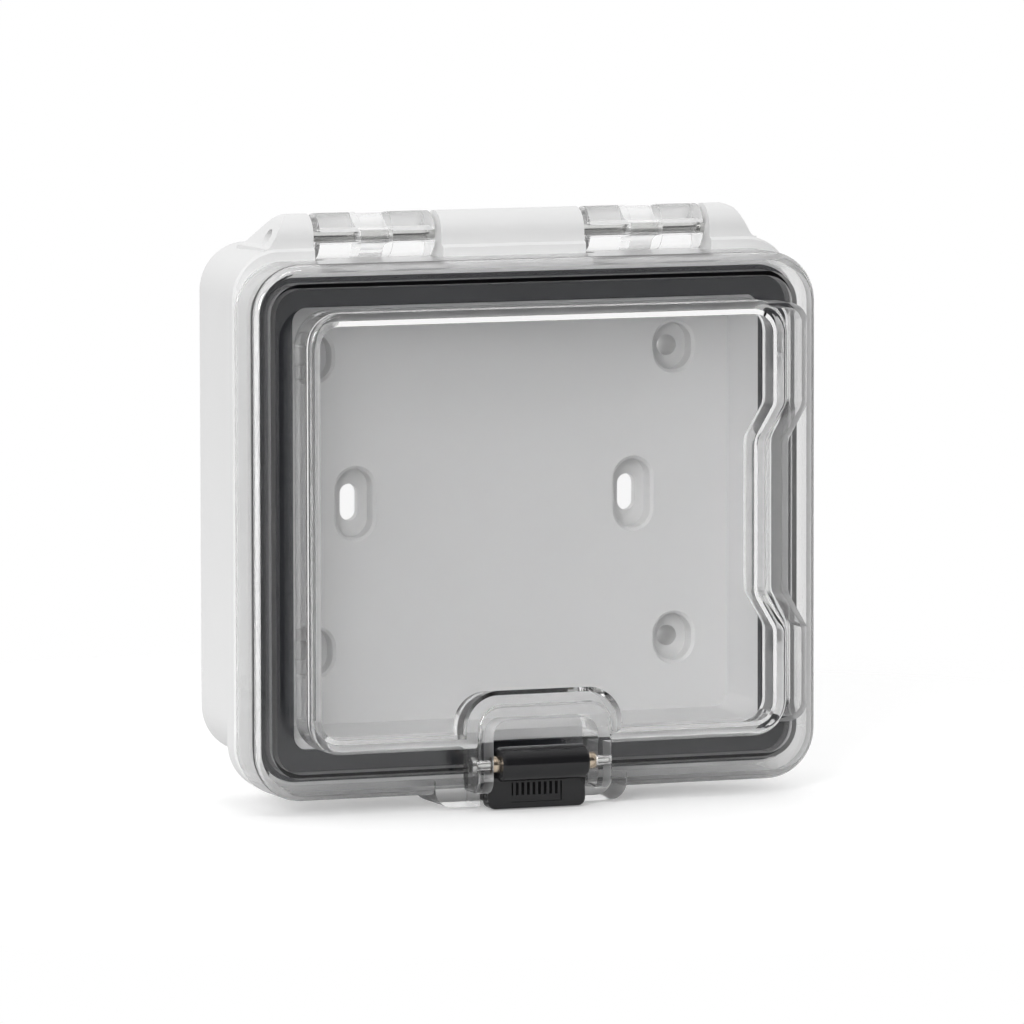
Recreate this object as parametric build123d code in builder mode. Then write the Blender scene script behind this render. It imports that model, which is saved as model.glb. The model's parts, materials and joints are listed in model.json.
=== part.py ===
from build123d import *
from math import atan2, degrees
import os

os.makedirs("parts", exist_ok=True)

# Frame: X right, Z up, Y towards the wall. The wall face of the case is Y = 0 and
# the two mounting slots are level with Z = 0. A depth is a distance forward from
# the wall, so a sketch at depth d lies on Plane.XZ.offset(d) and extrudes forward.

# Fits
running_gap = 0.06        # radial, lid on its hinge pins and lever on its pin
press_gap = 0.02          # radial, pins and rings seated in or on their holders
joint_gap = 0.5           # lid skirt around the neck of the case
foot_gap = 0.9            # the same at the bottom, where the opening lid also lifts
gasket_play = 0.1
end_play = 0.1            # between the roll of the latch and its collars
swing_gap = 0.5           # around the hinge knuckles and the latch lever

# Lid: the outline that the rest of the cover follows
lid_half = 60.4
lid_top = 50.5
lid_bottom = -56.9
lid_corner = 10.2
lid_edge = 1.8
lid_wall = 1.8
skirt_edge = 0.6
seal_inset = 0.9
seal_width = 1.0
seal_height = 4.2

# Case shell
shell_inset = 0.2         # side of the shell inside the side of the lid
shell_draft = 1.9         # how much narrower each side is at the wall
shell_rise = 2.25         # top of the shell above the lid
shell_foot = 5.9          # underside of the shell above the bottom of the lid
shell_corner = 9.7
shell_edge = 0.5
joint_depth = 26.4        # front edge of the shell, facing the lid skirt
step_length = 5.7         # deeper band at the front of the underside
joint_opening = 0.9       # between that front edge and the lid skirt
skin = 2.7

# Neck that the lid closes over, with its gasket tray
lip_wall = 0.6
tray_height = 5.5         # tray floor in front of the front edge of the shell
lip_height = 0.9
neck_corner = 8.0

# Cavity for the wiring device
cavity_land = 6.5         # width of the tray floor beside the cavity, without the play
cavity_top = 44.5
cavity_bottom = -44.6
cavity_corner = 3.0
mouth_side = 0.5          # the cavity widens by its draft towards the mouth
floor_depth = 14.15
floor_thickness = 2.8

# Mounting points in the floor
hole_pitch_x = 78.1
hole_pitch_z = 59.8
screw_hole = 4.2
screw_pocket_width = 8.2
screw_pocket_height = 9.7
slot_pitch = 60.3
slot_width = 3.9
slot_height = 7.5
slot_pocket_width = 7.8
slot_pocket_height = 14.2
pocket_depth = 4.0
pocket_web = 2.0
pocket_rim = 0.6
boss_wall = 1.8
rib_thickness = 1.6

# Gasket
gasket_thickness = 1.8
gasket_overhang = 0.5     # how far it reaches over the cavity at the sides
gasket_drop = 2.9         # and at the top
gasket_sill = 2.6         # how far below the cavity its opening starts
gasket_inner_corner = 3.0

# Dome of the lid
dome_height = 8.3
dome_left_border = 8.5
dome_right_border = 9.5
dome_top_border = 9.0
dome_bottom_border = 10.0
dome_corner = 7.0
dome_edge = 1.6
dome_wall = 1.9
dome_inner_edge = 1.0
dent_depth = 4.2
dent_top = 13.0
dent_bottom = -18.0
dent_run = 7.1            # height of each slanting end of the dent
dent_round = 3.6

# Second, lower step beside the dome
ledge_width = 4.25
ledge_top = 40.7
ledge_bottom = -44.2
ledge_drop = 0.5          # how far it stays behind the front of the dome
ledge_wall = 1.0
ledge_corner = 4.1

# Hinge
hinge_behind = 5.6        # axis behind the front edge of the shell
hinge_above = 4.3         # axis above the lid
barrel_radius = 4.7
waist_radius = 4.5        # middle part of a knuckle
barrel_half = 15.4
knuckle_gap = 1.4
knuckle_step = 8.9        # length of the inner part of a knuckle
waist_length = 6.8
knuckle_end = 8.8
cap_run = 9.4             # length of a cap at its foot
cap_shoulder = 5.6        # length to the corner between its top and its sloping end
cap_round = 3.4           # radius of that corner
cap_flare = 1.5           # radius in which the sloping end runs out
cap_foot = 0.9            # length of that run-out on the shell
gusset_depth = 8.0
hinge_pin = 2.0
hinge_head = 3.0
hinge_head_length = 1.2
hinge_seat = 4.9          # seat of the pin head, from the inner end of the cap
hinge_access = 3.4
hinge_blind = 4.0         # how far a pin enters the centre barrel
hinge_ring = 4.0
hinge_ring_width = 0.9

# Latch
latch_x = -1.85
latch_forward = 6.2       # axis in front of the lid face
latch_above = 6.5         # axis above the bottom of the lid
frame_half = 14.4
frame_wall = 3.2
frame_rise = 18.8         # top of the frame above the bottom of the lid
frame_foot = 0.7
frame_proud = 0.4         # how far it stands in front of the dome
frame_corner = 5.0
frame_inner_corner = 3.2
frame_edge = 0.7
frame_collar = 1.7        # solid land of the dome around the frame
ear_round = 3.4
lug_inset = 0.3
lug_width = 9.7
lug_drop = 2.5
lug_root = 2.9
lug_proud = 0.5
lug_round = 3.6
latch_pin = 2.0
latch_head = 3.4
latch_head_length = 0.9
latch_pin_end = 0.3
roll_radius = 3.5
roll_edge = 0.5
collar = 3.4
collar_width = 1.8
body_play = 0.8           # side gap of the body between the frame walls
body_thickness = 3.0
body_drop = 2.9
body_corner = 1.5
arm_half = 6.8
arm_thickness = 2.2
arm_root = 1.5            # how deep the arm sits in the body
arm_bevel = 1.0
barb_height = 1.0
barb_length = 2.0
barb_ramp = 0.6
channel_depth = 1.6
bead_radius = 0.8
bead_gap = 1.7            # bead in front of the barb
window_half = 5.4
window_height = 4.0
window_border = 1.2
window_sink = 1.0
window_sill = 1.4         # plain bar under the grip ribs
sill_sink = 0.4
grip_count = 9
grip_width = 0.6

# Depths
step_depth = joint_depth - step_length
lid_back_depth = joint_depth + joint_opening
tray_depth = joint_depth + tray_height
lip_depth = tray_depth + lip_height
gasket_front = tray_depth + gasket_thickness
lid_inside = gasket_front + seal_height
lid_face_depth = lid_inside + lid_wall
dome_depth = lid_face_depth + dome_height
floor_back = floor_depth - floor_thickness
pocket_floor = floor_depth - pocket_depth

# Outlines that follow the lid
shell_front_half = lid_half - shell_inset
shell_rear_half = shell_front_half - shell_draft
step_half = shell_rear_half + shell_draft * step_depth / joint_depth
shell_top = lid_top + shell_rise
shell_rear_bottom = lid_bottom + shell_foot
neck_half = lid_half - lid_wall - joint_gap
neck_top = lid_top - lid_wall - joint_gap
neck_bottom = lid_bottom + lid_wall + foot_gap
gasket_half = neck_half - lip_wall - gasket_play
cavity_half = gasket_half - cavity_land
gasket_top = neck_top - lip_wall - gasket_play
gasket_bottom = neck_bottom + lip_wall + gasket_play
gasket_corner = neck_corner - lip_wall
dome_left = dome_left_border - lid_half
dome_right = lid_half - dome_right_border
dome_top = lid_top - dome_top_border
dome_bottom = lid_bottom + dome_bottom_border

# Places of the hinge and of the latch
hinge_depth = joint_depth - hinge_behind
hinge_z = lid_top + hinge_above
knuckle_inner = barrel_half + knuckle_gap
waist_inner = knuckle_inner + knuckle_step
waist_outer = waist_inner + waist_length
knuckle_outer = waist_outer + knuckle_end
cap_inner = knuckle_outer + knuckle_gap
cap_outer = cap_inner + cap_run
cap_corner = cap_inner + cap_shoulder
hinge_head_seat = cap_inner + hinge_seat
latch_depth = lid_face_depth + latch_forward
latch_z = lid_bottom + latch_above
frame_inner_half = frame_half - frame_wall
frame_top = lid_bottom + frame_rise
frame_inner_top = frame_top - frame_wall
frame_bottom = lid_bottom + frame_foot
frame_depth = dome_depth + frame_proud
lug_inner = frame_inner_half - lug_inset
lug_outer = lug_inner + lug_width
lug_bottom = lid_bottom - lug_drop
lug_top = lid_bottom + lug_root
lug_front = lid_face_depth + lug_proud
roll_half = frame_inner_half - collar_width - end_play
body_half = frame_inner_half - body_play
body_back = lid_face_depth + swing_gap
body_front = body_back + body_thickness
body_bottom = lid_bottom - body_drop
arm_top = lid_bottom - swing_gap
arm_tip = step_depth + swing_gap
barb_front = arm_tip + barb_length
bead_depth = barb_front + bead_gap
window_bottom = body_bottom + window_border
window_top = window_bottom + window_height


def panel(low_x, high_x, low_z, high_z, radius):
    """Rounded rectangle given by its edges, in a sketch seen from the front."""
    with Locations(((low_x + high_x) / 2, (low_z + high_z) / 2)):
        RectangleRounded(high_x - low_x, high_z - low_z, radius)


def dented(left, right, low_z, high_z, corner):
    """Rounded panel whose right side has the long dent."""
    with BuildSketch() as outline:
        Polygon(
            (left, low_z),
            (right, low_z),
            (right, dent_bottom - dent_run),
            (right - dent_depth, dent_bottom),
            (right - dent_depth, dent_top),
            (right, dent_top + dent_run),
            (right, high_z),
            (left, high_z),
            align=None,
        )
        ends = vertices().filter_by_position(Axis.Y, low_z, low_z)
        ends += vertices().filter_by_position(Axis.Y, high_z, high_z)
        fillet(ends, corner)
        bends = vertices().filter_by_position(
            Axis.Y, dent_bottom - dent_run, dent_top + dent_run
        )
        fillet(bends, dent_round)
    return outline.sketch


dome_outline = dented(dome_left, dome_right, dome_bottom, dome_top, dome_corner)
dome_hollow = dented(
    dome_left + dome_wall,
    dome_right - dome_wall,
    dome_bottom + dome_wall,
    dome_top - dome_wall,
    dome_corner - dome_wall,
)
ledge_outline = dented(
    dome_right - 4 * ledge_width,
    dome_right + ledge_width,
    ledge_bottom,
    ledge_top,
    ledge_corner,
)
ledge_hollow = dented(
    dome_right - 3 * ledge_width,
    dome_right + ledge_width - ledge_wall,
    ledge_bottom + ledge_wall,
    ledge_top - ledge_wall,
    ledge_corner - ledge_wall,
)


with BuildSketch() as land_outline:
    with Locations((latch_x, (frame_top + frame_collar + frame_bottom) / 2)):
        Rectangle(2 * (frame_half + frame_collar), frame_top + frame_collar - frame_bottom)
    fillet(vertices().group_by(Axis.Y)[-1], frame_corner + frame_collar)
frame_land = land_outline.sketch

# What is cut away outside the sloping end of the right cap.
with BuildSketch() as cap_outline:
    Polygon(
        (cap_inner, hinge_z + barrel_radius),
        (cap_corner, hinge_z + barrel_radius),
        (cap_outer, shell_top),
        (cap_outer + cap_run, shell_top),
        (cap_outer + cap_run, hinge_z + 2 * barrel_radius),
        (cap_inner, hinge_z + 2 * barrel_radius),
        align=None,
    )
    fillet(vertices().sort_by_distance((cap_corner, hinge_z + barrel_radius))[0], cap_round)
    fillet(vertices().sort_by_distance((cap_outer, shell_top))[0], cap_flare)
cap_end = cap_outline.sketch


# Back box: drafted shell, neck, cavity, mounting floor and hinge seats in one moulding.
with BuildPart() as back_box:
    with BuildSketch(Plane.XY.offset(shell_rear_bottom)):
        Polygon(
            (-shell_rear_half, 0),
            (-shell_front_half, -joint_depth),
            (shell_front_half, -joint_depth),
            (shell_rear_half, 0),
            align=None,
        )
    extrude(amount=shell_top - shell_rear_bottom)
    fillet(edges().filter_by(Axis.X, reverse=True).filter_by(Axis.Z, reverse=True), shell_corner)
    with BuildSketch(Plane.XZ.offset(step_depth)):
        panel(-step_half, step_half, lid_bottom + shell_front_half - step_half, cavity_top, shell_corner)
    extrude(amount=step_length, taper=-degrees(atan2(shell_draft, joint_depth)))
    chamfer(faces().sort_by(Axis.Y)[0].edges(), shell_edge)
    chamfer(faces().sort_by(Axis.Y)[-1].edges(), shell_edge)
    with BuildSketch(Plane.XZ.offset(joint_depth)):
        panel(-neck_half, neck_half, neck_bottom, neck_top, neck_corner)
    extrude(amount=lip_depth - joint_depth)

    # Hinge seats: centre barrel and two end caps with sloping ends.
    with BuildSketch(Plane.YZ.offset(-barrel_half)):
        with Locations((-hinge_depth, hinge_z)):
            Circle(barrel_radius)
        with Locations((-(hinge_depth + barrel_radius + gusset_depth) / 2, shell_top - 1)):
            Rectangle(hinge_depth + barrel_radius - gusset_depth, 1)
        make_hull()
    extrude(amount=2 * barrel_half)
    for side in (-1, 1):
        with BuildSketch(Plane.YZ.offset(side * cap_inner)):
            with Locations((-hinge_depth, hinge_z)):
                Circle(barrel_radius)
            with Locations((-(hinge_depth + barrel_radius + gusset_depth) / 2, shell_top - 1)):
                Rectangle(hinge_depth + barrel_radius - gusset_depth, 1)
            make_hull()
        extrude(amount=side * (cap_outer + cap_foot - cap_inner))
        with BuildSketch(Plane.XZ):
            add(cap_end if side > 0 else mirror(cap_end, about=Plane.YZ, mode=Mode.PRIVATE))
        extrude(amount=joint_depth, mode=Mode.SUBTRACT)

    # Hollows: cavity, gasket tray and the space behind the floor.
    with BuildSketch(Plane.XZ.offset(floor_depth)):
        panel(-cavity_half, cavity_half, cavity_bottom, cavity_top, cavity_corner)
    extrude(
        amount=lip_depth - floor_depth,
        taper=-degrees(atan2(mouth_side, lip_depth - floor_depth)),
        mode=Mode.SUBTRACT,
    )
    with BuildSketch(Plane.XZ.offset(tray_depth)):
        panel(
            -gasket_half - gasket_play,
            gasket_half + gasket_play,
            gasket_bottom - gasket_play,
            gasket_top + gasket_play,
            gasket_corner + gasket_play,
        )
    extrude(amount=lip_depth - tray_depth, mode=Mode.SUBTRACT)
    with BuildSketch(Plane.XZ):
        panel(
            -shell_rear_half + skin,
            shell_rear_half - skin,
            shell_rear_bottom + skin,
            shell_top - skin,
            shell_corner - skin,
        )
    extrude(amount=floor_back, mode=Mode.SUBTRACT)

    # Notches in the top for the lid's knuckles and the plates that carry them.
    for side in (-1, 1):
        with BuildSketch(Plane.YZ.offset(side * barrel_half)):
            with Locations((-hinge_depth, hinge_z)):
                Circle(barrel_radius + swing_gap)
            with Locations(((-joint_depth - hinge_depth + swing_gap) / 2, neck_top)):
                Rectangle(
                    joint_depth - hinge_depth + swing_gap,
                    hinge_z - neck_top,
                    align=(Align.CENTER, Align.MIN),
                )
        extrude(amount=side * (cap_inner - barrel_half), mode=Mode.SUBTRACT)

    # Standoffs and a rib that reach the wall behind the floor.
    with BuildSketch(Plane.XZ):
        with GridLocations(hole_pitch_x, hole_pitch_z, 2, 2):
            SlotOverall(
                screw_pocket_height + 2 * boss_wall,
                screw_pocket_width + 2 * boss_wall,
                rotation=90,
            )
        with Locations((0, (shell_top + shell_rear_bottom) / 2)):
            Rectangle(rib_thickness, shell_top - shell_rear_bottom - 2 * skin)
    extrude(amount=floor_back)
    with BuildSketch(Plane.XZ.offset(pocket_floor - pocket_web)):
        with GridLocations(slot_pitch, 0, 2, 1):
            SlotOverall(
                slot_pocket_height + 2 * boss_wall,
                slot_pocket_width + 2 * boss_wall,
                rotation=90,
            )
    extrude(amount=floor_back - pocket_floor + pocket_web)

    # Pockets in the floor, their round holes and the two adjusting slots.
    with BuildSketch(Plane.XZ.offset(pocket_floor)):
        with GridLocations(hole_pitch_x, hole_pitch_z, 2, 2):
            SlotOverall(screw_pocket_height, screw_pocket_width, rotation=90)
        with GridLocations(slot_pitch, 0, 2, 1):
            SlotOverall(slot_pocket_height, slot_pocket_width, rotation=90)
    extrude(amount=pocket_depth, mode=Mode.SUBTRACT)
    rims = edges().filter_by_position(Axis.Y, -floor_depth, -floor_depth)
    rims = rims.filter_by_position(Axis.X, -0.6 * hole_pitch_x, 0.6 * hole_pitch_x)
    chamfer(rims.filter_by_position(Axis.Z, -0.65 * hole_pitch_z, 0.65 * hole_pitch_z), pocket_rim)
    with BuildSketch(Plane.XZ):
        with GridLocations(hole_pitch_x, hole_pitch_z, 2, 2):
            Circle(screw_hole / 2)
        with GridLocations(slot_pitch, 0, 2, 1):
            SlotOverall(slot_height, slot_width, rotation=90)
    extrude(amount=pocket_floor, mode=Mode.SUBTRACT)

    # Seats of the hinge pins: stepped through the caps, blind in the centre barrel.
    for side in (-1, 1):
        with BuildSketch(Plane.YZ.offset(side * hinge_head_seat)):
            with Locations((-hinge_depth, hinge_z)):
                Circle(hinge_access / 2)
        extrude(amount=side * cap_run, mode=Mode.SUBTRACT)
        with BuildSketch(Plane.YZ.offset(side * cap_inner)):
            with Locations((-hinge_depth, hinge_z)):
                Circle(hinge_pin / 2 + press_gap)
        extrude(amount=side * (hinge_head_seat - cap_inner), mode=Mode.SUBTRACT)
        with BuildSketch(Plane.YZ.offset(side * (barrel_half - hinge_blind))):
            with Locations((-hinge_depth, hinge_z)):
                Circle(hinge_pin / 2 + press_gap)
        extrude(amount=side * hinge_blind, mode=Mode.SUBTRACT)

    # Channel under the front edge for the latch arm, with the bead that the barb passes.
    with BuildSketch(Plane.XZ.offset(step_depth)):
        with Locations((latch_x, lid_bottom)):
            Rectangle(2 * (arm_half + swing_gap), 2 * channel_depth)
    extrude(amount=joint_depth - step_depth, mode=Mode.SUBTRACT)
    with BuildSketch(Plane.YZ.offset(latch_x - arm_half - swing_gap)):
        with Locations((-bead_depth, lid_bottom + channel_depth)):
            Circle(bead_radius)
    extrude(amount=2 * (arm_half + swing_gap))

back_box.part.label = "back_box"

# Gasket: flat rubber frame lying in the tray.
with BuildPart() as lid_gasket:
    with BuildSketch(Plane.XZ.offset(tray_depth)):
        panel(-gasket_half, gasket_half, gasket_bottom, gasket_top, gasket_corner)
        with Locations((0, (cavity_top - gasket_drop + cavity_bottom - gasket_sill) / 2)):
            RectangleRounded(
                2 * (cavity_half - gasket_overhang),
                cavity_top - gasket_drop - cavity_bottom + gasket_sill,
                gasket_inner_corner,
                mode=Mode.SUBTRACT,
            )
    extrude(amount=gasket_thickness)

lid_gasket.part.label = "lid_gasket"

# Lid: clear moulding with skirt, dented dome, lower step, latch frame and hinge knuckles.
with BuildPart() as lid:
    with BuildSketch(Plane.XZ.offset(lid_back_depth)):
        panel(-lid_half, lid_half, lid_bottom, lid_top, lid_corner)
    extrude(amount=lid_face_depth - lid_back_depth)
    fillet(faces().sort_by(Axis.Y)[0].edges(), lid_edge)
    chamfer(faces().sort_by(Axis.Y)[-1].edges(), skirt_edge)

    # Lugs that guard the latch arm below the skirt.
    with BuildSketch(Plane.XZ.offset(lid_back_depth)):
        for side in (-1, 1):
            with Locations((latch_x + side * (lug_inner + lug_outer) / 2, (lug_bottom + lug_top) / 2)):
                Rectangle(lug_outer - lug_inner, lug_top - lug_bottom)
        corners = vertices().group_by(Axis.Y)[0]
        fillet([corners.sort_by(Axis.X)[0], corners.sort_by(Axis.X)[-1]], lug_round)
    extrude(amount=lug_front - lid_back_depth)

    # Skirt hollow, then the rib that presses on the gasket.
    with BuildSketch(Plane.XZ.offset(lid_back_depth)):
        panel(
            -lid_half + lid_wall,
            lid_half - lid_wall,
            lid_bottom + lid_wall,
            lid_top - lid_wall,
            lid_corner - lid_wall,
        )
    extrude(amount=lid_inside - lid_back_depth, mode=Mode.SUBTRACT)
    with BuildSketch(Plane.XZ.offset(gasket_front)):
        panel(
            -gasket_half + seal_inset,
            gasket_half - seal_inset,
            gasket_bottom + seal_inset,
            gasket_top - seal_inset,
            gasket_corner - seal_inset,
        )
        offset(amount=-seal_width, mode=Mode.SUBTRACT)
    extrude(amount=lid_inside - gasket_front)

    # Dome, then the lower step beside it, which is hollow from behind.
    with BuildSketch(Plane.XZ.offset(lid_inside)):
        add(dome_outline)
    extrude(amount=dome_depth - lid_inside)
    fillet(faces().sort_by(Axis.Y)[0].edges(), dome_edge)
    with BuildSketch(Plane.XZ.offset(lid_inside)):
        add(ledge_outline)
    extrude(amount=dome_height - ledge_drop + lid_wall)
    with BuildSketch(Plane.XZ.offset(lid_inside)):
        add(ledge_hollow)
        add(dome_outline, mode=Mode.SUBTRACT)
    extrude(amount=dome_height - ledge_drop + lid_wall - ledge_wall, mode=Mode.SUBTRACT)

    # Frame of the latch pocket: a solid arch whose legs run on as ears.
    with BuildSketch(Plane.XZ.offset(lid_inside)):
        with Locations((latch_x, (frame_top + frame_bottom) / 2)):
            Rectangle(2 * frame_half, frame_top - frame_bottom)
        fillet(vertices().group_by(Axis.Y)[-1], frame_corner)
    extrude(amount=frame_depth - lid_inside)
    foot = faces().sort_by(Axis.Y)[0].edges().sort_by(Axis.Z)[0]
    fillet(foot, ear_round)
    rim = faces().sort_by(Axis.Y)[0].edges().sort_by(Axis.Z)[1:]
    fillet(rim, frame_edge)

    # Hollow of the dome, running around the latch frame.
    with BuildSketch(Plane.XZ.offset(lid_inside)):
        add(dome_hollow)
        add(frame_land, mode=Mode.SUBTRACT)
    extrude(amount=dome_height, mode=Mode.SUBTRACT)
    inner_front = -lid_inside - dome_height
    chamfer(edges().filter_by_position(Axis.Y, inner_front, inner_front), dome_inner_edge)

    # Pocket of the latch, open downwards between the ears.
    with BuildSketch(Plane.XZ.offset(lid_face_depth)):
        with Locations((latch_x, (frame_inner_top + lug_bottom) / 2 - 1)):
            Rectangle(2 * frame_inner_half, frame_inner_top - lug_bottom + 2)
        fillet(vertices().group_by(Axis.Y)[-1], frame_inner_corner)
    extrude(amount=dome_depth, mode=Mode.SUBTRACT)

    # Knuckles: outer parts open forwards, the middle part backwards.
    for side in (-1, 1):
        with BuildSketch(Plane.YZ.offset(side * knuckle_inner)):
            with Locations((-hinge_depth, lid_top)):
                Rectangle(
                    lid_back_depth + skirt_edge - hinge_depth,
                    lid_wall,
                    align=(Align.MAX, Align.MAX),
                )
        extrude(amount=side * (knuckle_outer - knuckle_inner))
        for inner, outer, radius, reach in (
            (knuckle_inner, waist_inner, barrel_radius, -1),
            (waist_inner, waist_outer, waist_radius, 1),
            (waist_outer, knuckle_outer, barrel_radius, -1),
        ):
            with BuildSketch(Plane.YZ.offset(side * inner)):
                with Locations((-hinge_depth, hinge_z)):
                    Circle(radius)
                    Circle(hinge_pin / 2 + running_gap, mode=Mode.SUBTRACT)
                with Locations((-hinge_depth + reach * barrel_radius / 2, hinge_z)):
                    Rectangle(barrel_radius, hinge_pin + 2 * running_gap, mode=Mode.SUBTRACT)
            extrude(amount=side * (outer - inner))

    # Bores for the latch pin through the ears.
    with BuildSketch(Plane.YZ.offset(latch_x - frame_half)):
        with Locations((-latch_depth, latch_z)):
            Circle(latch_pin / 2 + press_gap)
    extrude(amount=2 * frame_half, mode=Mode.SUBTRACT)

lid.part.label = "lid"

# Hinge pins: one on each side, pushed in from the outer end of its cap.
with BuildPart() as hinge_pins:
    for side in (-1, 1):
        with BuildSketch(Plane.YZ.offset(side * (barrel_half - hinge_blind))):
            with Locations((-hinge_depth, hinge_z)):
                Circle(hinge_pin / 2)
        extrude(amount=side * (hinge_head_seat - barrel_half + hinge_blind))
        with BuildSketch(Plane.YZ.offset(side * hinge_head_seat)):
            with Locations((-hinge_depth, hinge_z)):
                Circle(hinge_head / 2)
        extrude(amount=side * hinge_head_length)

hinge_pins.part.label = "hinge_pins"

# Spacer rings against the inner ends of the caps.
with BuildPart() as hinge_rings:
    for side in (-1, 1):
        with BuildSketch(Plane.YZ.offset(side * cap_inner)):
            with Locations((-hinge_depth, hinge_z)):
                Circle(hinge_ring / 2)
                Circle(hinge_pin / 2 + press_gap, mode=Mode.SUBTRACT)
        extrude(amount=-side * hinge_ring_width)

hinge_rings.part.label = "hinge_rings"

# Latch lever: roll around the pin, body with the grip, arm under the lid and its barb.
with BuildPart() as latch_lever:
    with BuildSketch(Plane.YZ.offset(latch_x - roll_half)):
        with Locations((-latch_depth, latch_z)):
            Circle(roll_radius)
    extrude(amount=2 * roll_half)
    chamfer(edges().filter_by(GeomType.CIRCLE), roll_edge)
    with BuildSketch(Plane.XZ.offset(body_back)):
        with Locations((latch_x, (latch_z + body_bottom) / 2)):
            Rectangle(2 * body_half, latch_z - body_bottom)
        fillet(vertices().group_by(Axis.Y)[0], body_corner)
    extrude(amount=body_front - body_back)
    with BuildSketch(Plane.YZ.offset(latch_x - arm_half)):
        with BuildLine():
            Polyline(
                (-body_back - arm_root, arm_top - arm_thickness),
                (-arm_tip - arm_bevel, arm_top - arm_thickness),
                (-arm_tip, arm_top - arm_thickness + arm_bevel),
                (-arm_tip, arm_top + barb_height - barb_ramp),
                (-arm_tip - barb_ramp, arm_top + barb_height),
                (-barb_front + barb_ramp, arm_top + barb_height),
                (-barb_front + barb_ramp - barb_height, arm_top),
                (-body_back - arm_root, arm_top),
                close=True,
            )
        make_face()
    extrude(amount=2 * arm_half)
    with BuildSketch(Plane.XZ.offset(body_front - window_sink)):
        with Locations((latch_x, (window_top + window_bottom) / 2)):
            Rectangle(2 * window_half, window_top - window_bottom)
            with GridLocations(2 * window_half / grip_count, 0, grip_count, 1):
                Rectangle(grip_width, window_top - window_bottom, mode=Mode.SUBTRACT)
    extrude(amount=window_sink, mode=Mode.SUBTRACT)
    with BuildSketch(Plane.XZ.offset(body_front - window_sink)):
        with Locations((latch_x, window_bottom + window_sill / 2)):
            Rectangle(2 * window_half, window_sill)
    extrude(amount=window_sink - sill_sink)
    with BuildSketch(Plane.XZ.offset(body_front - sill_sink)):
        with Locations((latch_x, window_bottom + window_sill / 2)):
            Rectangle(2 * window_half, window_sill)
    extrude(amount=sill_sink, mode=Mode.SUBTRACT)
    with BuildSketch(Plane.YZ.offset(latch_x - roll_half)):
        with Locations((-latch_depth, latch_z)):
            Circle(latch_pin / 2 + running_gap)
    extrude(amount=2 * roll_half, mode=Mode.SUBTRACT)

latch_lever.part.label = "latch_lever"

# Latch pin with its head outside the left ear.
with BuildPart() as latch_pin_rod:
    with BuildSketch(Plane.YZ.offset(latch_x - frame_half)):
        with Locations((-latch_depth, latch_z)):
            Circle(latch_pin / 2)
    extrude(amount=2 * frame_half + latch_pin_end)
    with BuildSketch(Plane.YZ.offset(latch_x - frame_half)):
        with Locations((-latch_depth, latch_z)):
            Circle(latch_head / 2)
    extrude(amount=-latch_head_length)

latch_pin_rod.part.label = "latch_pin"

# Collars that fill the gaps between the roll and the ears.
with BuildPart() as latch_collars:
    for side in (-1, 1):
        with BuildSketch(Plane.YZ.offset(latch_x + side * (roll_half + end_play))):
            with Locations((-latch_depth, latch_z)):
                Circle(collar / 2)
                Circle(latch_pin / 2 + press_gap, mode=Mode.SUBTRACT)
        extrude(amount=side * (frame_inner_half - roll_half - end_play))

latch_collars.part.label = "latch_collars"

export_step(back_box.part, "parts/back_box.step")
export_step(lid_gasket.part, "parts/lid_gasket.step")
export_step(lid.part, "parts/lid.step")
export_step(hinge_pins.part, "parts/hinge_pins.step")
export_step(hinge_rings.part, "parts/hinge_rings.step")
export_step(latch_lever.part, "parts/latch_lever.step")
export_step(latch_pin_rod.part, "parts/latch_pin.step")
export_step(latch_collars.part, "parts/latch_collars.step")
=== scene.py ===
import json
import math

import bpy
from mathutils import Matrix, Vector

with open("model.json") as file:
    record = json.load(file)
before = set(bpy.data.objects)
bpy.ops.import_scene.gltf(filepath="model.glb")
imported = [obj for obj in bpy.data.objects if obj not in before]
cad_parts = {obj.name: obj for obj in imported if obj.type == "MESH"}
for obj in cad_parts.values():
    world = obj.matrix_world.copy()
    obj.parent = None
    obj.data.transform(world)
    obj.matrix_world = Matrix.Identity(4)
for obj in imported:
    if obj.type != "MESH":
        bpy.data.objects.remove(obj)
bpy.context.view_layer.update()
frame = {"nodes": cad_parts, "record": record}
scene = bpy.context.scene
scene.view_settings.view_transform = "Standard"

# Lengths are in metres, angles in degrees and lamp powers in watts.
PLASTIC_INDEX = 1.49  # how strongly the clear plastic bends light
PLASTIC_TINT = 0.967
SHADOW_LIGHT = 0.39  # share of a lamp's light that passes one surface of it
# white of the painted sheen on the clear plastic, which stands in for light caught in its edges
PAINTED_SHEEN_WHITE = 0.95
PAINTED_SHEEN_MOST = 0.3  # share of the painted sheen, standing in for light caught in the edges, where the plastic is seen edge on

FLOOR = -0.0601
PAPER_HALF = 0.3
PAPER_GREY = 0.8
PAPER_ROUGHNESS = 0.9
PAPER_GLOW = 0.26
PAPER_ENDS = (0.14, 0.26)  # where the paper starts to run out and where it is gone

WHITE_SIDE = (0, 0.82, 0.57)  # the room is brightest behind the cover and above it
ROOM_DIM = 0.06
ROOM_ENDS = (-0.4, 0.6)

CAMERA_LENS_MM = 341.93
CAMERA_SENSOR_MM = 36.0
CAMERA_PLACE = (-0.69304, -1.85669, 0.18776)
CAMERA_AZIMUTH = 20.72
CAMERA_ELEVATION = 5.53
CAMERA_ROLL = -0.11


def grey(level):
    """An even grey, from 0 for black to 1 for white."""
    return (level, level, level, 1)


def plain_material(name):
    """A new material with its node tree, Principled shader and Object coordinates."""
    material = bpy.data.materials.new(name)
    material.use_nodes = True
    tree = material.node_tree
    shader = tree.nodes["Principled BSDF"]
    place = tree.nodes.new("ShaderNodeTexCoord").outputs["Object"]
    return material, tree, shader, place


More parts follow.
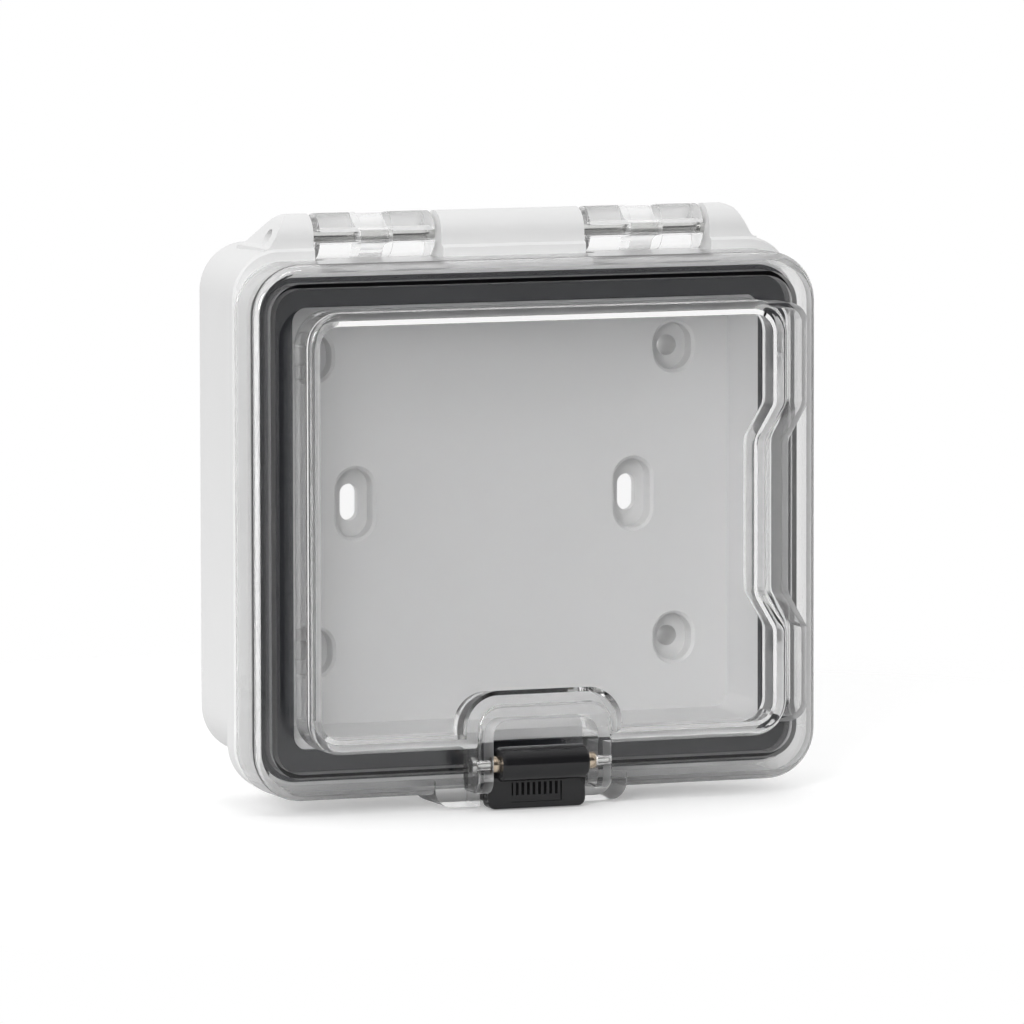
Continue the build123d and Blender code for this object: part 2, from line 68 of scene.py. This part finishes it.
def grain(tree, place, scale, detail, stretch=(1, 1, 1)):
    """Noise at a scale in bumps per metre."""
    turn = tree.nodes.new("ShaderNodeMapping")
    turn.inputs["Scale"].default_value = stretch
    tree.links.new(place, turn.inputs["Vector"])
    noise = tree.nodes.new("ShaderNodeTexNoise")
    noise.inputs["Scale"].default_value = scale
    noise.inputs["Detail"].default_value = detail
    tree.links.new(turn.outputs["Vector"], noise.inputs["Vector"])
    return noise.outputs["Fac"]


def spread(tree, value, low, high, start=0.3, end=0.7):
    """The value stretched from start..end to low..high; noise stays mostly within 0.3..0.7."""
    span = tree.nodes.new("ShaderNodeMapRange")
    span.inputs["From Min"].default_value = start
    span.inputs["From Max"].default_value = end
    span.inputs["To Min"].default_value = low
    span.inputs["To Max"].default_value = high
    tree.links.new(value, span.inputs["Value"])
    return span.outputs["Result"]


def tinted(tree, value, dark, light):
    """A colour between two, by a value from 0 to 1."""
    ramp = tree.nodes.new("ShaderNodeValToRGB")
    ramp.color_ramp.elements[0].color = (*dark, 1)
    ramp.color_ramp.elements[1].color = (*light, 1)
    tree.links.new(value, ramp.inputs["Fac"])
    return ramp.outputs["Color"]


def bumped(tree, value, height, shader):
    """Relief of the given height."""
    bump = tree.nodes.new("ShaderNodeBump")
    bump.inputs["Strength"].default_value = 1.0
    bump.inputs["Distance"].default_value = height
    tree.links.new(value, bump.inputs["Height"])
    tree.links.new(bump.outputs["Normal"], shader.inputs["Normal"])


def reckoned(tree, operation, first, second):
    """One value from two; each is a number or the output of a node."""
    node = tree.nodes.new("ShaderNodeMath")
    node.operation = operation
    for number, value in enumerate((first, second)):
        if isinstance(value, float):
            node.inputs[number].default_value = value
        else:
            tree.links.new(value, node.inputs[number])
    return node.outputs[0]


def blended(tree, share, first, second):
    """Two shaders in one, by the share of the second."""
    node = tree.nodes.new("ShaderNodeMixShader")
    tree.links.new(share, node.inputs["Fac"])
    tree.links.new(first, node.inputs[1])
    tree.links.new(second, node.inputs[2])
    return node.outputs["Shader"]


def moulded(name, clouds, grains, dark, light, roughness, relief, gloss=0.5):
    """Moulded plastic or rubber: soft clouds in its colour and a fine grain in its surface."""
    material, tree, shader, place = plain_material(name)
    cloud = grain(tree, place, clouds, 3)
    fine = grain(tree, place, grains, 2)
    tree.links.new(tinted(tree, cloud, dark, light), shader.inputs["Base Color"])
    tree.links.new(spread(tree, fine, *roughness), shader.inputs["Roughness"])
    shader.inputs["Specular IOR Level"].default_value = gloss
    bumped(tree, fine, relief, shader)
    return material


def turned_metal(name, lines, stretch, dark, light, roughness):
    """Bare metal with the fine lines that drawing or turning leaves on it."""
    material, tree, shader, place = plain_material(name)
    worked = grain(tree, place, lines, 2, stretch)
    shader.inputs["Metallic"].default_value = 1.0
    tree.links.new(tinted(tree, worked, dark, light), shader.inputs["Base Color"])
    tree.links.new(spread(tree, worked, *roughness), shader.inputs["Roughness"])
    return material


def clear_plastic():
    """Clear plastic that lets part of the light through, with a painted white sheen where it is
    seen edge on that stands in for light caught in its edges.
    """
    material, tree, shader, place = plain_material("clear_plastic")
    shader.inputs["Base Color"].default_value = grey(PLASTIC_TINT)
    shader.inputs["Transmission Weight"].default_value = 1.0
    shader.inputs["IOR"].default_value = PLASTIC_INDEX
    haze = grain(tree, place, 90, 2)
    tree.links.new(spread(tree, haze, 0.0, 0.03), shader.inputs["Roughness"])

    # Painted sheen: a white share mixed in where the plastic is seen edge on, standing in for
    # light caught in the edges.
    slant = tree.nodes.new("ShaderNodeLayerWeight")
    slant.inputs["Blend"].default_value = 0.5
    painted_sheen = tree.nodes.new("ShaderNodeBsdfTranslucent")
    painted_sheen.inputs["Color"].default_value = grey(PAINTED_SHEEN_WHITE)
    sheen_share = spread(tree, slant.outputs["Facing"], 0.0, PAINTED_SHEEN_MOST, start=0.4, end=0.9)
    with_painted_sheen = blended(tree, sheen_share, shader.outputs["BSDF"], painted_sheen.outputs["BSDF"])

    through = tree.nodes.new("ShaderNodeBsdfTransparent")
    through.inputs["Color"].default_value = grey(SHADOW_LIGHT)
    rays = tree.nodes.new("ShaderNodeLightPath")
    both = blended(tree, rays.outputs["Is Shadow Ray"], with_painted_sheen, through.outputs["BSDF"])
    tree.links.new(both, tree.nodes["Material Output"].inputs["Surface"])
    return material


# The finishes of the pieces.
finishes = {
    "box_plastic": moulded(
        "box_plastic", clouds=40, grains=2600,
        dark=(0.70, 0.70, 0.70), light=(0.74, 0.74, 0.74),
        roughness=(0.36, 0.46), relief=0.000012,
    ),
    "seal_rubber": moulded(
        "seal_rubber", clouds=60, grains=1800,
        dark=(0.012, 0.013, 0.016), light=(0.018, 0.019, 0.023),
        roughness=(0.46, 0.53), relief=0.000004, gloss=0.15,
    ),
    "clear_plastic": clear_plastic(),
    "pin_steel": turned_metal(
        "pin_steel", lines=900, stretch=(0.05, 1, 1),
        dark=(0.50, 0.50, 0.49), light=(0.74, 0.74, 0.73),
        roughness=(0.18, 0.32),
    ),
    "collar_brass": turned_metal(
        "collar_brass", lines=2500, stretch=(1, 0.2, 0.2),
        dark=(0.56, 0.44, 0.32), light=(0.80, 0.70, 0.57),
        roughness=(0.15, 0.3),
    ),
    "black_plastic": moulded(
        "black_plastic", clouds=80, grains=3000,
        dark=(0.006, 0.006, 0.007), light=(0.012, 0.012, 0.013),
        roughness=(0.10, 0.18), relief=0.000006,
    ),
}
slot_of = {part["node"]: part["material_slot"] for part in frame["record"]["subparts"]}
for node, obj in frame["nodes"].items():
    obj.data.materials.clear()
    obj.data.materials.append(finishes[slot_of[node]])

# The floor is white paper that runs out softly into the white room.
floor_material, tree, shader, place = plain_material("floor_paper")
shader.inputs["Base Color"].default_value = grey(PAPER_GREY)
shader.inputs["Roughness"].default_value = PAPER_ROUGHNESS
rays = tree.nodes.new("ShaderNodeLightPath")
glow = tree.nodes.new("ShaderNodeEmission")
glow.inputs["Color"].default_value = grey(1)
seen = reckoned(tree, "MULTIPLY", rays.outputs["Is Camera Ray"], PAPER_GLOW)
tree.links.new(seen, glow.inputs["Strength"])
lit = tree.nodes.new("ShaderNodeAddShader")
tree.links.new(shader.outputs["BSDF"], lit.inputs[0])
tree.links.new(glow.outputs["Emission"], lit.inputs[1])

away = tree.nodes.new("ShaderNodeVectorMath")
away.operation = "LENGTH"
tree.links.new(place, away.inputs[0])
open_air = tree.nodes.new("ShaderNodeBsdfTransparent")
gone = spread(tree, away.outputs["Value"], 0.0, 1.0, *PAPER_ENDS)
fade = blended(tree, gone, lit.outputs["Shader"], open_air.outputs["BSDF"])
tree.links.new(fade, tree.nodes["Material Output"].inputs["Surface"])

floor_mesh = bpy.data.meshes.new("floor")
corners = [(-1, -1), (1, -1), (1, 1), (-1, 1)]
floor_mesh.from_pydata(
    [(x * PAPER_HALF, y * PAPER_HALF, FLOOR) for x, y in corners], [], [(0, 1, 2, 3)]
)
floor = bpy.data.objects.new("floor", floor_mesh)
scene.collection.objects.link(floor)
floor_mesh.materials.append(floor_material)

# The room is white behind the cover and dim in front of it and below.
world = bpy.data.worlds.new("studio")
scene.world = world
world.use_nodes = True
tree = world.node_tree
background = tree.nodes["Background"]
background.inputs["Color"].default_value = grey(1)
way = tree.nodes.new("ShaderNodeVectorMath")
way.operation = "DOT_PRODUCT"
way.inputs[1].default_value = WHITE_SIDE
tree.links.new(tree.nodes.new("ShaderNodeTexCoord").outputs["Generated"], way.inputs[0])
room = spread(tree, way.outputs["Value"], ROOM_DIM, 1.0, *ROOM_ENDS)

# The camera sees it all white, also through clear plastic with nothing matt in between.
rays = tree.nodes.new("ShaderNodeLightPath")
sharp = reckoned(tree, "LESS_THAN", rays.outputs["Diffuse Depth"], 0.5)
clear = reckoned(tree, "MULTIPLY", rays.outputs["Is Transmission Ray"], sharp)
direct = reckoned(tree, "MAXIMUM", rays.outputs["Is Camera Ray"], clear)
whole = tree.nodes.new("ShaderNodeMix")
tree.links.new(direct, whole.inputs["Factor"])
tree.links.new(room, whole.inputs["A"])
whole.inputs["B"].default_value = 1.0
tree.links.new(whole.outputs["Result"], background.inputs["Strength"])


def lamp(name, azimuth, elevation, distance, width, height, power):
    """A soft lamp facing the cover, hidden behind clear plastic; azimuth is right of the front."""
    turn, rise = math.radians(azimuth), math.radians(elevation)
    place = distance * Vector((
        math.cos(rise) * math.sin(turn),
        -math.cos(rise) * math.cos(turn),
        math.sin(rise),
    ))
    light = bpy.data.lights.new(name, "AREA")
    light.shape = "RECTANGLE"
    light.size = width
    light.size_y = height
    light.energy = power
    obj = bpy.data.objects.new(name, light)
    obj.location = place
    obj.rotation_euler = (-place).to_track_quat("-Z", "Y").to_euler()
    obj.visible_transmission = False
    scene.collection.objects.link(obj)


lamp("front_lamp", azimuth=-36, elevation=16, distance=1.7, width=0.6, height=0.6, power=20.0)
lamp("rim_lamp", azimuth=82, elevation=15, distance=1.7, width=0.6, height=0.6, power=4.0)
lamp("strip_lamp", azimuth=-4, elevation=50, distance=1.5, width=0.9, height=0.08, power=4.0)

# The camera stands left of the front and a little above, with a long lens.
camera_data = bpy.data.cameras.new("camera")
camera_data.lens = CAMERA_LENS_MM
camera_data.sensor_width = CAMERA_SENSOR_MM
camera = bpy.data.objects.new("camera", camera_data)
scene.collection.objects.link(camera)
azimuth, elevation = math.radians(CAMERA_AZIMUTH), math.radians(CAMERA_ELEVATION)
roll = math.radians(CAMERA_ROLL)
forward = Vector((
    math.sin(azimuth) * math.cos(elevation),
    math.cos(azimuth) * math.cos(elevation),
    -math.sin(elevation),
))
level_right = Vector((math.cos(azimuth), -math.sin(azimuth), 0))
level_up = level_right.cross(forward)
right = level_right * math.cos(roll) + level_up * math.sin(roll)
up = level_up * math.cos(roll) - level_right * math.sin(roll)
camera.matrix_world = Matrix.Translation(CAMERA_PLACE) @ Matrix(
    (right, up, -forward)
).transposed().to_4x4()
scene.camera = camera
